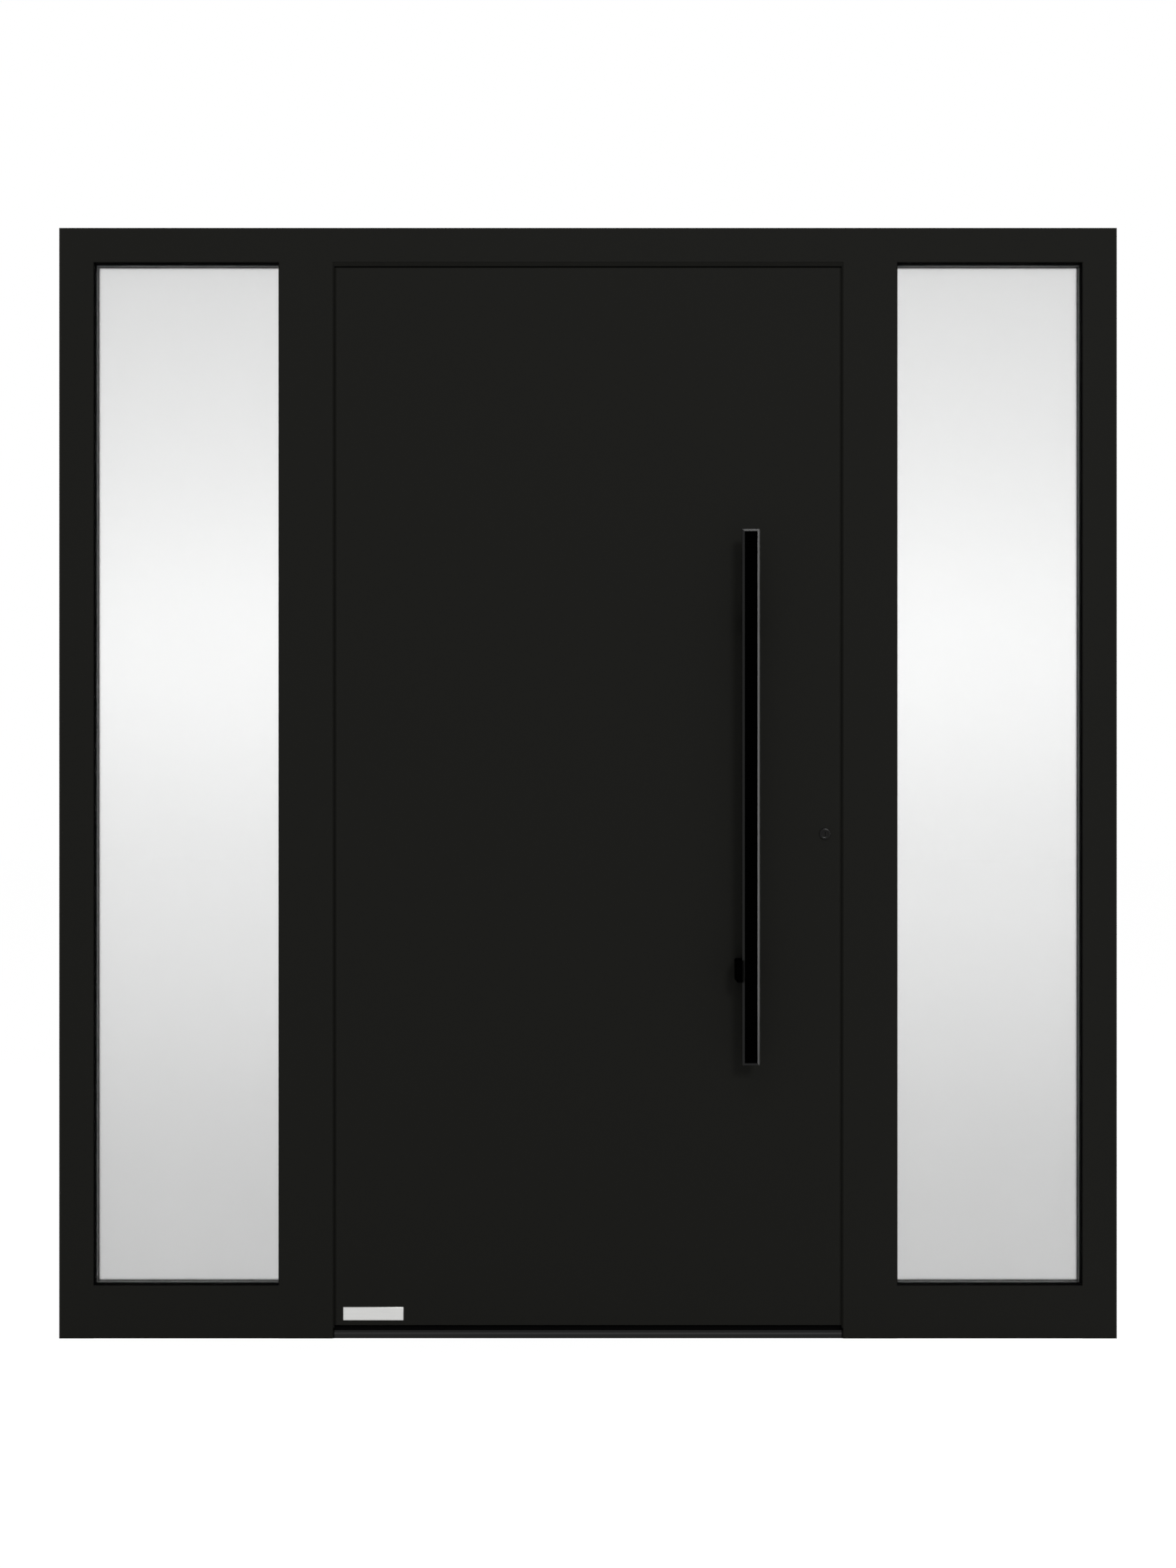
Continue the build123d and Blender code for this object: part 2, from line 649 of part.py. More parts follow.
with BuildPart() as leaf_hinge_leaves:
    for height in hinge_heights:
        near = hinge_x + hinge_block_gap
        block_z = (height - hinge_end, height + hinge_end)
        block((near, near + hinge_block_width), (leaf_back, block_back), block_z)
        for low, high in (
            (height - hinge_end, height - hinge_middle_span - hinge_gap),
            (height + hinge_middle_span + hinge_gap, height + hinge_end),
        ):
            knuckle(low, high)
            block((hinge_x, near), (hinge_y - hinge_barrel_radius, block_back), (low, high))
            pin_bore(low, high)
    upright_edges = leaf_hinge_leaves.edges().filter_by(Axis.Z).sort_by(Axis.X)
    chamfer(upright_edges[-len(hinge_heights) :], hinge_block_edge)
keep("leaf_hinge_leaves", leaf_hinge_leaves)

with BuildPart() as hinge_pins:
    for height in hinge_heights:
        with BuildSketch(Plane.XY.offset(height - hinge_end)):
            with Locations((hinge_x, hinge_y)):
                Circle(hinge_pin_radius)
        extrude(amount=hinge_length)
        with BuildSketch(Plane.XY.offset(height + hinge_end)):
            with Locations((hinge_x, hinge_y)):
                Circle(hinge_barrel_radius - hinge_gap)
        extrude(amount=hinge_cap)
keep("hinge_pins", hinge_pins)

os.makedirs("parts", exist_ok=True)
for name, piece in finished.items():
    export_step(piece, f"parts/{name}.step")
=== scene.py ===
"""Looks of the entrance door: its finishes, its small fittings, the camera and the studio light.

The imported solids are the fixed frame, in metres: X to the right seen from outside, Y from outside to
inside, Z up. What is added here sits on those solids and rides on the door's frame or on its leaf.
"""

import json
import logging
import math
from collections.abc import Callable, Iterable
from dataclasses import dataclass
from enum import Enum
from typing import Any

import bmesh
import bpy
from mathutils import Matrix, Vector

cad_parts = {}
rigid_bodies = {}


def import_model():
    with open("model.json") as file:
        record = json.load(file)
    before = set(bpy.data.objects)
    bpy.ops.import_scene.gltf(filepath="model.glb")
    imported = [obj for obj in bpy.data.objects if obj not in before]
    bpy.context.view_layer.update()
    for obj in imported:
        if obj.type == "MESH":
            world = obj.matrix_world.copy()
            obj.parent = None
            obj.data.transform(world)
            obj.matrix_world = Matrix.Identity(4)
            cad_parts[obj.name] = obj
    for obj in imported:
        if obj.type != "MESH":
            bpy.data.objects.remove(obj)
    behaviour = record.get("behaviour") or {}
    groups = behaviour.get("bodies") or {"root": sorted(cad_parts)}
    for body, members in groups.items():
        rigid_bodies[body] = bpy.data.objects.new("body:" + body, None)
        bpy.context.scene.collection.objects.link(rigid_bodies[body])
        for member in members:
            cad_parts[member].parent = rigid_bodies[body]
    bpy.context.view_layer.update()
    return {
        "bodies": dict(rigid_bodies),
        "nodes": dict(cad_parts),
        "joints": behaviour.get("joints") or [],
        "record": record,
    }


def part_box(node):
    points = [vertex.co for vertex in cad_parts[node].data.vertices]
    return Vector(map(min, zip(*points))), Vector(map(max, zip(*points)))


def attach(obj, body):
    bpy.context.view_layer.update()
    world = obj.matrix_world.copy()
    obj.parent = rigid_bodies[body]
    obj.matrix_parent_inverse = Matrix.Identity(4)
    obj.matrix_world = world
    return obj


Colour = tuple[float, float, float]
Place = tuple[float, float, float]
MILLIMETRE = 0.001
SHARP_ANGLE = 35.0
FACING = 0.99

log = logging.getLogger("entrance_door")


class Body(Enum):
    """The two bodies of the door."""

    FRAME = "frame"
    LEAF = "leaf"


class Along(Enum):
    """The axis that brushing or extrusion lines run along."""

    X = 0
    Y = 1
    Z = 2


class Drive(Enum):
    """The socket in a screw's head."""

    HEX = "hex"
    CROSS = "cross"


class Value:
    """A number that varies over a surface: an output of a shader tree that takes part in arithmetic."""

    def __init__(self, tree: "Tree", socket: bpy.types.NodeSocket) -> None:
        """Wrap the output of a node in its tree."""
        self.tree = tree
        self.socket = socket

    def __add__(self, other: "Value | float") -> "Value":
        """Add a value or a number."""
        return self.tree.maths("ADD", self, other)

    def __sub__(self, other: "Value | float") -> "Value":
        """Take a value or a number away."""
        return self.tree.maths("SUBTRACT", self, other)

    def __rsub__(self, other: float) -> "Value":
        """Take this value from a number."""
        return self.tree.maths("SUBTRACT", other, self)

    def __mul__(self, other: "Value | float") -> "Value":
        """Multiply by a value or a number."""
        return self.tree.maths("MULTIPLY", self, other)

    __radd__ = __add__
    __rmul__ = __mul__

    def at_most(self, limit: float) -> "Value":
        """Hold the value at or under a limit."""
        return self.tree.maths("MINIMUM", self, limit)

    def spread(self, low: float, high: float) -> "Value":
        """Stretch a value that runs from 0 to 1 over another span."""
        return low + self * (high - low)

    def around(self, middle: float, reach: float) -> "Value":
        """Stretch a value that runs from 0 to 1 to this reach on both sides of a middle."""
        return self.spread(middle - reach, middle + reach)


class Tree:
    """The shader nodes of one material or of the world."""

    def __init__(self, owner: bpy.types.Material | bpy.types.World) -> None:
        """Start an empty tree on its owner."""
        owner.use_nodes = True
        self.nodes = owner.node_tree.nodes
        self.links = owner.node_tree.links
        self.nodes.clear()

    def node(
        self,
        kind: str,
        settings: dict[str, Any] | None = None,
        sockets: dict[str | int, Any] | None = None,
        output: str | int = 0,
    ) -> Value | None:
        """Add a node.

        Args:
            kind: the node's type.
            settings: its own settings, which are set first.
            sockets: what goes into its sockets, values or links, by name or number.
            output: the socket that is handed on.

        Returns:
            The chosen output of the new node, or None where it has no outputs.
        """
        node = self.nodes.new(kind)
        for key, setting in (settings or {}).items():
            setattr(node, key, setting)
        for key, entry in (sockets or {}).items():
            if isinstance(entry, Value):
                self.links.new(entry.socket, node.inputs[key])
            else:
                node.inputs[key].default_value = entry
        return Value(self, node.outputs[output]) if node.outputs else None

    def maths(self, operation: str, first: Value | float, second: Value | float) -> Value:
        """Add a Math node on two values."""
        return self.node("ShaderNodeMath", {"operation": operation}, {0: first, 1: second})

    def place(self, stretch: Place = (1.0, 1.0, 1.0)) -> Value:
        """Give the place on the piece, in metres, stretched along the axes."""
        seat = self.node("ShaderNodeTexCoord", output="Object")
        return self.node("ShaderNodeMapping", sockets={"Vector": seat, "Scale": stretch})

    def drawn(self, along: Along, lines: float, length: float) -> Value:
        """Give the place with this many lines to a metre across an axis, and lengths of line along it."""
        stretch = [lines] * 3
        stretch[along.value] = length
        return self.place(tuple(stretch))

    def noise(self, place: Value, per_metre: float, detail: float = 2.0) -> Value:
        """Give noise from 0 to 1 with about this many grains to a metre."""
        return self.node(
            "ShaderNodeTexNoise", sockets={"Vector": place, "Scale": per_metre, "Detail": detail}
        )

    def blend(self, share: Value, first: Colour, second: Colour) -> Value:
        """Mix two colours by a share that varies over the surface."""
        sockets = {0: share, 6: (*first, 1.0), 7: (*second, 1.0)}
        return self.node("ShaderNodeMix", {"data_type": "RGBA"}, sockets, output=2)

    def bump(self, height: Value, depth: float) -> Value:
        """Give the normal of a surface that is raised by a height from 0 to 1, to this depth in metres."""
        return self.node("ShaderNodeBump", sockets={"Height": height, "Distance": depth, "Strength": 1.0})

    def principled(self, sockets: dict[str, Any]) -> Value:
        """Add the surface shader."""
        return self.node("ShaderNodeBsdfPrincipled", sockets=sockets)

    def seen(self) -> Value:
        """Give 1 for rays from the camera and for mirrored and refracted ones, and 0 for the rest."""
        rays = [
            self.node("ShaderNodeLightPath", output=name)
            for name in ("Is Camera Ray", "Is Glossy Ray", "Is Transmission Ray")
        ]
        return (rays[0] + rays[1] + rays[2]).at_most(1.0)

    def close(self, shader: Value, kind: str = "ShaderNodeOutputMaterial") -> None:
        """Send a shader to the tree's output."""
        self.node(kind, sockets={"Surface": shader})


def tone(colour: Colour, factor: float) -> Colour:
    """Make a colour lighter or darker by a factor."""
    return tuple(part * factor for part in colour)


@dataclass(frozen=True)
class Finish:
    """A surface finish, made once as a material."""

    name: str
    colour: Colour
    roughness: float

    def material(self) -> bpy.types.Material:
        """Make the material, or give the one that is already made.

        Returns:
            The finish as a material.
        """
        made = bpy.data.materials.get(self.name)
        if made is None:
            made = bpy.data.materials.new(self.name)
            tree = Tree(made)
            tree.close(self.shader(tree))
        return made

    def shader(self, tree: Tree) -> Value:
        """Put the finish's shader together in its tree."""
        raise NotImplementedError

    def shades(self, contrast: float) -> tuple[Colour, Colour]:
        """Give the colour a little darker and a little paler."""
        return tone(self.colour, 1 - contrast), tone(self.colour, 1 + contrast)

    def dress(self, piece: bpy.types.Object) -> None:
        """Give the finish to all of a piece."""
        piece.data.materials.clear()
        piece.data.materials.append(self.material())


@dataclass(frozen=True)
class PowderCoat(Finish):
    """Baked powder coat with a fine grain over a faint orange peel."""

    sheen_level: float = 0.2
    grains: float = 1500.0
    peel: float = 160.0
    clouds: float = 5.0
    cloud_detail: float = 3.0
    depth: float = 0.00004
    mottle: float = 0.05
    gloss_spread: float = 0.08
    grain_share: float = 0.5
    grain_height: float = 0.6

    def shader(self, tree: Tree) -> Value:
        """Mottle the colour and the gloss a little, and raise the grain."""
        place = tree.place()
        grain = tree.noise(place, self.grains)
        peel = tree.noise(place, self.peel)
        cloud = tree.noise(place, self.clouds, self.cloud_detail)
        share = self.grain_share * grain + (1 - self.grain_share) * cloud
        height = self.grain_height * grain + (1 - self.grain_height) * peel
        return tree.principled({
            "Base Color": tree.blend(share, *self.shades(self.mottle)),
            "Roughness": share.around(self.roughness, self.gloss_spread),
            "Specular IOR Level": self.sheen_level,
            "Normal": tree.bump(height, self.depth),
        })


@dataclass(frozen=True)
class DrawnMetal(Finish):
    """Bare or anodised metal with brushing or extrusion lines along one axis."""

    along: Along = Along.Z
    metal: float = 1.0
    lines: float = 2200.0
    length: float = 12.0
    line_detail: float = 3.0
    clouds: float = 9.0
    depth: float = 0.00001
    contrast: float = 0.14
    gloss_spread: float = 0.1
    line_share: float = 0.7

    def shader(self, tree: Tree) -> Value:
        """Draw the lines out along the axis and let them vary colour, gloss and height."""
        line = tree.noise(tree.drawn(self.along, self.lines, self.length), 1.0, self.line_detail)
        cloud = tree.noise(tree.place(), self.clouds)
        share = self.line_share * line + (1 - self.line_share) * cloud
        return tree.principled({
            "Base Color": tree.blend(share, *self.shades(self.contrast)),
            "Metallic": self.metal,
            "Roughness": share.around(self.roughness, self.gloss_spread),
            "Normal": tree.bump(line, self.depth),
        })


@dataclass(frozen=True)
class Polymer(Finish):
    """Extruded rubber or plastic: matt, with drawing lines and a bloom of paler spots."""

    along: Along = Along.Z
    lines: float = 900.0
    length: float = 6.0
    patches: float = 60.0
    patch_detail: float = 4.0
    depth: float = 0.00003
    bloom: float = 1.5
    sheen_level: float = 0.25
    gloss_spread: float = 0.08

    def shader(self, tree: Tree) -> Value:
        """Draw faint lines along the axis and spread the bloom in soft patches."""
        line = tree.noise(tree.drawn(self.along, self.lines, self.length), 1.0)
        patch = tree.noise(tree.place(), self.patches, self.patch_detail)
        return tree.principled({
            "Base Color": tree.blend(patch * line, self.colour, tone(self.colour, self.bloom)),
            "Roughness": patch.around(self.roughness, self.gloss_spread),
            "Specular IOR Level": self.sheen_level,
            "Normal": tree.bump(line, self.depth),
        })


@dataclass(frozen=True)
class Glass(Finish):
    """A pane, clear or etched to a satin face."""

    passed: float = 1.0
    bending: float = 1.5
    grains: float = 1800.0
    clouds: float = 7.0
    cloud_tone: float = 0.985
    grain_share: float = 0.5
    depth: float = 0.0
    gloss_spread: float = 0.01

    def shader(self, tree: Tree) -> Value:
        """Vary the gloss with the etching's grain, and raise that grain on a satin face."""
        place = tree.place()
        grain = tree.noise(place, self.grains)
        cloud = tree.noise(place, self.clouds)
        share = self.grain_share * grain + (1 - self.grain_share) * cloud
        sockets = {
            "Base Color": tree.blend(cloud, tone(self.colour, self.cloud_tone), self.colour),
            "Roughness": share.around(self.roughness, self.gloss_spread),
            "Transmission Weight": self.passed,
            "IOR": self.bending,
        }
        if self.depth:
            sockets["Normal"] = tree.bump(grain, self.depth)
        return tree.principled(sockets)


POWDER_COAT = PowderCoat("matt_black_powder_coat", (0.0099, 0.0099, 0.0087), 0.55, sheen_level=0.03)
HINGE_COAT = PowderCoat("satin_black_hinge_coat", (0.0080, 0.0080, 0.0075), 0.42, sheen_level=0.2)
BAR_COAT = PowderCoat(
    "satin_black_bar_coat", (0.0075, 0.0075, 0.0072), 0.3, sheen_level=0.16, depth=0.00002
)
BAR_INLAY = PowderCoat("deep_black_bar_inlay", (0.0003, 0.0003, 0.0003), 0.9, sheen_level=0.0)
CYLINDER_METAL = PowderCoat(
    "satin_black_cylinder", (0.0045, 0.0045, 0.0042), 0.23, sheen_level=0.11, depth=0.00001
)
LOCK_STEEL = DrawnMetal("brushed_lock_steel", (0.52, 0.52, 0.51), 0.34)
PLATE_STEEL = DrawnMetal("brushed_plate_steel", (0.60, 0.60, 0.59), 0.3, along=Along.X)
THRESHOLD_METAL = DrawnMetal(
    "grey_anodised_threshold", (0.0104, 0.0104, 0.0106), 0.42, along=Along.X, metal=0.8
)
SEAL_RUBBER = Polymer("black_seal_rubber", (0.004, 0.004, 0.004), 0.72, sheen_level=0.1)
# Blacker than real plastic: the bar's own black plus painted shade of the gap under the leaf.
BREAK_PLASTIC_AND_SHADE = Polymer("black_insulating_bar", (0.002, 0.002, 0.002), 0.7, sheen_level=0.04)
LINER_RUBBER = Polymer("black_glazing_liner", (0.0012, 0.0012, 0.0012), 0.9, sheen_level=0.02)
# Darker than the coat: partly the rubber's own tone, partly painted shade standing in for the dim depth of
# the gap round the leaf.
GAP_RUBBER_AND_SHADE = Polymer("dark_gap_rubber", (0.0080, 0.0080, 0.0070), 0.8, sheen_level=0.02)
SPACER_BAR = Polymer("grey_spacer_bar", (0.16, 0.16, 0.16), 0.55)
CLEAR_GLASS = Glass("clear_float_glass", (0.976, 0.980, 0.978), 0.005, gloss_spread=0.005)
SATIN_GLASS = Glass("satin_etched_glass", (0.52, 0.52, 0.52), 0.42, depth=0.00002, gloss_spread=0.05)

SLOT_FINISHES = {
    "coat": POWDER_COAT,
    "hinge_coat": HINGE_COAT,
    "bar_coat": BAR_COAT,
    "bar_inlay": BAR_INLAY,
    "cylinder_metal": CYLINDER_METAL,
    "lock_steel": LOCK_STEEL,
    "threshold_metal": THRESHOLD_METAL,
    "gasket": SEAL_RUBBER,
    "insulating_bar": BREAK_PLASTIC_AND_SHADE,
    "spacer": SPACER_BAR,
    "clear_glass": CLEAR_GLASS,
    "satin_glass": SATIN_GLASS,
}


class Shape:
    """A mesh that is modelled with Blender's own tools, at its place on the door."""

    def __init__(self, name: str) -> None:
        """Take the primitive that was just added, and put its place into its mesh."""
        self.piece = bpy.context.object
        self.piece.name = name
        self.piece.data.name = name
        bpy.ops.object.transform_apply(location=True, rotation=True, scale=True)

    @staticmethod
    def rest() -> None:
        """Leave edit mode and drop the selection."""
        if bpy.context.object and bpy.context.object.mode != "OBJECT":
            bpy.ops.object.mode_set(mode="OBJECT")
        bpy.ops.object.select_all(action="DESELECT")

    @classmethod
    def block(cls, name: str, low: Place, high: Place) -> "Shape":
        """Start from a box between two corners.

        Args:
            name: the piece's name.
            low: its lowest corner.
            high: its highest corner.

        Returns:
            The shape, still a plain box.
        """
        cls.rest()
        corner, far = Vector(low), Vector(high)
        bpy.ops.mesh.primitive_cube_add(size=1.0, location=(corner + far) / 2)
        bpy.context.object.scale = far - corner
        return cls(name)

    @classmethod
    def round(cls, name: str, radius: float, depth: float, sides: int = 48, foot: float = 0.0) -> "Shape":
        """Start from an upright round bar on the Z axis.

        Args:
            name: the piece's name.
            radius: its radius.
            depth: its height.
            sides: how many flats make its round.
            foot: where its foot stands.

        Returns:
            The shape, still a plain bar.
        """
        cls.rest()
        bpy.ops.mesh.primitive_cylinder_add(
            vertices=sides, radius=radius, depth=depth, location=(0.0, 0.0, foot + depth / 2)
        )
        return cls(name)

    @classmethod
    def sheet(cls, name: str, low: Place, high: Place) -> "Shape":
        """Start from an upright sheet that faces outside.

        Args:
            name: the piece's name.
            low: its lowest corner.
            high: its highest corner, as far inside as the lowest.

        Returns:
            The shape, still one face.
        """
        cls.rest()
        corner, far = Vector(low), Vector(high)
        turn = (math.pi / 2, 0.0, 0.0)
        bpy.ops.mesh.primitive_plane_add(size=1.0, location=(corner + far) / 2, rotation=turn)
        bpy.context.object.scale = (far.x - corner.x, far.z - corner.z, 1.0)
        return cls(name)

    def hold(self) -> None:
        """Select this piece alone and make it the active one."""
        self.rest()
        self.piece.select_set(True)
        bpy.context.view_layer.objects.active = self.piece

    def pick_faces(self, test: Callable[[Vector, Vector], bool]) -> None:
        """Go to edit mode with the faces selected whose middle and normal pass the test."""
        self.hold()
        bpy.ops.object.mode_set(mode="EDIT")
        bpy.ops.mesh.select_mode(type="FACE")
        bpy.ops.mesh.select_all(action="DESELECT")
        mesh = bmesh.from_edit_mesh(self.piece.data)
        for face in mesh.faces:
            face.select_set(test(face.calc_center_median(), face.normal))
        bmesh.update_edit_mesh(self.piece.data)

    def inset(self, width: float) -> None:
        """Inset the selected faces."""
        bpy.ops.mesh.inset(thickness=width)

    def push(self, way: Place) -> None:
        """Extrude the selected faces along a way."""
        bpy.ops.mesh.extrude_region_move(TRANSFORM_OT_translate={"value": way})

    def shift(self, way: Place) -> None:
        """Move the selected faces along a way."""
        bpy.ops.transform.translate(value=way)

    def squeeze(self, factors: Place, middle: Place) -> None:
        """Resize the selected faces about a point, by a factor along each axis."""
        bpy.ops.transform.resize(value=factors, center_override=middle)

    def terrace(self, steps: Iterable[tuple[float, float]]) -> None:
        """Raise or lower the selected faces ring by ring, each with its width and its rise along Z."""
        for width, rise in steps:
            self.inset(width)
            self.shift((0.0, 0.0, rise))

    def drop(self) -> None:
        """Delete the selected faces."""
        bpy.ops.mesh.delete(type="FACE")

    def close(self) -> None:
        """Merge the doubles and turn every face outwards."""
        self.hold()
        bpy.ops.object.mode_set(mode="EDIT")
        bpy.ops.mesh.select_all(action="SELECT")
        bpy.ops.mesh.remove_doubles(threshold=0.001 * MILLIMETRE)
        bpy.ops.mesh.normals_make_consistent(inside=False)
        bpy.ops.object.mode_set(mode="OBJECT")

    def soften(self, width: float, segments: int = 2, angle: float = SHARP_ANGLE) -> None:
        """Round the edges that turn by more than an angle in degrees."""
        self.hold()
        bpy.ops.object.modifier_add(type="BEVEL")
        bevel = self.piece.modifiers[-1]
        bevel.width = width
        bevel.segments = segments
        bevel.limit_method = "ANGLE"
        bevel.angle_limit = math.radians(angle)
        bpy.ops.object.modifier_apply(modifier=bevel.name)

    def cut(self, tool: "Shape") -> None:
        """Cut another shape out of this one, and delete that shape."""
        self.hold()
        bpy.ops.object.modifier_add(type="BOOLEAN")
        boolean = self.piece.modifiers[-1]
        boolean.object = tool.piece
        boolean.operation = "DIFFERENCE"
        bpy.ops.object.modifier_apply(modifier=boolean.name)
        bpy.data.objects.remove(tool.piece)

    def smooth(self) -> None:
        """Shade the round faces smooth and keep the sharp edges."""
        self.hold()
        bpy.ops.object.shade_smooth_by_angle(angle=math.radians(SHARP_ANGLE))

    def repeat(self, seats: Iterable[Matrix]) -> None:
        """Copy the mesh to each seat, each copy with its own mesh, and join the copies into this piece."""
        first = self.piece
        name = first.name
        copies = []
        for seat in seats:
            copy = first.copy()
            copy.data = first.data.copy()
            copy.matrix_world = seat
            bpy.context.scene.collection.objects.link(copy)
            copies.append(copy)
        bpy.data.objects.remove(first)
        self.piece = copies[0]
        self.hold()
        for copy in copies:
            copy.select_set(True)
        if len(copies) > 1:
            bpy.ops.object.join()
        bpy.ops.object.transform_apply(location=True, rotation=True, scale=True)
        self.piece.name = name
        self.piece.data.name = name

    def fit(self, finish: Finish, body: Body, slot: str) -> None:
        """Give the finished piece its looks and the body that it rides on."""
        self.smooth()
        finish.dress(self.piece)
        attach(self.piece, body.value)
        self.rest()
        log.info("%s: %d faces, on the %s", self.piece.name, len(self.piece.data.polygons), body.value)


def seat(place: Place, outward: Place, turn: float = 0.0) -> Matrix:
    """Where a small fitting sits.

    Args:
        place: the point that its foot stands on.
        outward: the way that its top faces.
        turn: its turn about that way, in degrees.

    Returns:
        The matrix that takes an upright fitting there.
    """
    lean = Vector(outward).to_track_quat("Z", "Y").to_matrix().to_4x4()
    return Matrix.Translation(place) @ lean @ Matrix.Rotation(math.radians(turn), 4, "Z")


def solids_of(node: str) -> list[tuple[Vector, Vector]]:
    """Find the boxes of the separate solids in one node of the frame.

    Args:
        node: the node's name.

    Returns:
        The lowest and the highest corner of each solid, from the lowest solid up.
    """
    mesh = bmesh.new()
    mesh.from_mesh(bpy.data.objects[node].data)
    bmesh.ops.remove_doubles(mesh, verts=mesh.verts, dist=0.01 * MILLIMETRE)
    waiting = set(mesh.verts)
    boxes = []
    while waiting:
        island = {waiting.pop()}
        front = set(island)
        while front:
            front = {edge.other_vert(vert) for vert in front for edge in vert.link_edges} - island
            island |= front
        waiting -= island
        low = Vector(min(vert.co[axis] for vert in island) for axis in range(3))
        high = Vector(max(vert.co[axis] for vert in island) for axis in range(3))
        boxes.append((low, high))
    mesh.free()
    return sorted(boxes, key=lambda box: box[0].z)


@dataclass(frozen=True)
class Screw:
    """A small screw, of which only the head shows. Its socket's sizes are shares of the head's radius."""

    radius: float
    height: float
    drive: Drive
    sunk: float
    edge_share: float = 0.5
    hex_reach: float = 0.52
    hex_depth: float = 0.7
    cross_reach: float = 0.62
    cross_half: float = 0.13
    cross_depth: float = 0.5
    least_floor: float = 0.0002

    def build(self, name: str, seats: Iterable[Matrix], finish: Finish, body: Body, slot: str) -> None:
        """Model one head with its socket, and set a copy on each seat.

        Args:
            name: the name of the joined screws.
            seats: where they sit on the surface.
            finish: their finish.
            body: the body that they ride on.
            slot: their material slot; not used.
        """
        top = self.sunk + self.height
        head = Shape.round(name, self.radius, top, sides=32)
        head.soften(self.edge_share * self.height)
        for tool in self.sockets(top):
            head.cut(tool)
        head.repeat(place @ Matrix.Translation((0.0, 0.0, -self.sunk)) for place in seats)
        head.fit(finish, body, slot)

    def sockets(self, top: float) -> list[Shape]:
        """Make the tools that cut the socket into the head.

        Args:
            top: the height of the head's top.

        Returns:
            One six-sided bar, or two crossing blades.
        """
        depth = self.hex_depth if self.drive is Drive.HEX else self.cross_depth
        floor = max(top - depth * self.radius, self.least_floor)
        if self.drive is Drive.HEX:
            return [Shape.round("hex_key", self.hex_reach * self.radius, self.radius, sides=6, foot=floor)]
        reach, half = self.cross_reach * self.radius, self.cross_half * self.radius
        lip = top + MILLIMETRE
        return [
            Shape.block("blade", (-reach, -half, floor), (reach, half, lip)),
            Shape.block("blade", (-half, -reach, floor), (half, reach, lip)),
        ]


@dataclass(frozen=True)
class HingeTrim:
    """What shows on the three barrel hinges beside their solids: screws, end caps and bearing rings."""

    cap_radius: float = 0.0092
    cap_height: float = 0.0030
    cap_edge: float = 0.0003
    cap_edge_angle: float = 50.0
    dome: tuple[tuple[float, float], ...] = (
        (0.08, 0.10),
        (0.12, 0.10),
        (0.20, 0.09),
        (0.25, 0.05),
        (0.20, 0.02),
    )
    knuckle_half: float = 0.0200
    knuckle_gap: float = 0.0010
    ring_thickness: float = 0.0008
    ring_radius: float = 0.0107
    ring_bore: float = 0.0053
    ring_edge: float = 0.00015
    screw_rise: float = 0.0350
    screw_shift: float = 0.11
    screw_turn: float = 15.0
    clamp: Screw = Screw(0.0048, 0.0004, Drive.HEX, sunk=0.0040)
    adjuster: Screw = Screw(0.0034, 0.0003, Drive.HEX, sunk=0.0030)

    def build(self, axis: Vector) -> None:
        """Model the trim of all three hinges.

        Args:
            axis: a point on the hinges' axis.
        """
        pins = solids_of("hinge_pins")
        self.caps(axis, pins)
        self.rings(axis)
        for name, node, body in (
            ("frame_hinge", "frame_hinge_leaves", Body.FRAME),
            ("leaf_hinge", "leaf_hinge_leaves", Body.LEAF),
        ):
            self.screws(name, node, body, axis)

    def caps(self, axis: Vector, pins: list[tuple[Vector, Vector]]) -> None:
        """Close both ends of each barrel with a domed cap."""
        cap = Shape.round("hinge_caps", self.cap_radius, self.cap_height, sides=64)
        cap.pick_faces(lambda middle, normal: normal.z > FACING)
        cap.terrace((share * self.cap_radius, rise * self.cap_height) for share, rise in self.dome)
        cap.soften(self.cap_edge, angle=self.cap_edge_angle)
        tops = [seat((axis.x, axis.y, high.z), (0.0, 0.0, 1.0)) for low, high in pins]
        feet = [seat((axis.x, axis.y, low.z), (0.0, 0.0, -1.0)) for low, high in pins]
        cap.repeat(tops + feet)
        cap.fit(HINGE_COAT, Body.LEAF, "hinge_coat")

    def rings(self, axis: Vector) -> None:
        """Lay a bearing ring into each gap between the knuckles."""
        ring = Shape.round("hinge_bearing_rings", self.ring_radius, self.ring_thickness)
        ring.cut(Shape.round("bore", self.ring_bore, 4 * self.ring_thickness, foot=-self.ring_thickness))
        ring.soften(self.ring_edge, segments=1)
        play = (self.knuckle_gap - self.ring_thickness) / 2
        seats = []
        for low, high in solids_of("frame_hinge_leaves"):
            middle = (low.z + high.z) / 2
            above = middle + self.knuckle_half + play
            below = middle - self.knuckle_half - self.knuckle_gap + play
            seats += [seat((axis.x, axis.y, height), (0.0, 0.0, 1.0)) for height in (above, below)]
        ring.repeat(seats)
        ring.fit(LOCK_STEEL, Body.LEAF, "lock_steel")

    def screws(self, name: str, node: str, body: Body, axis: Vector) -> None:
        """Set two clamping screws and an adjusting screw into the flat of each hinge leaf."""
        clamps, adjusters = [], []
        for low, high in solids_of(node):
            flat = axis.y - self.knuckle_gap
            outer = low.x if body is Body.FRAME else high.x
            across = (outer + axis.x) / 2 + (outer - axis.x) * self.screw_shift
            middle = (low.z + high.z) / 2
            for rise in (-self.screw_rise, self.screw_rise):
                clamps.append(seat((across, flat, middle + rise), (0.0, 1.0, 0.0), self.screw_turn))
            adjusters.append(seat((across, flat, middle), (0.0, 1.0, 0.0)))
        self.clamp.build(f"{name}_clamp_screws", clamps, LOCK_STEEL, body, "lock_steel")
        self.adjuster.build(f"{name}_adjusters", adjusters, LOCK_STEEL, body, "lock_steel")


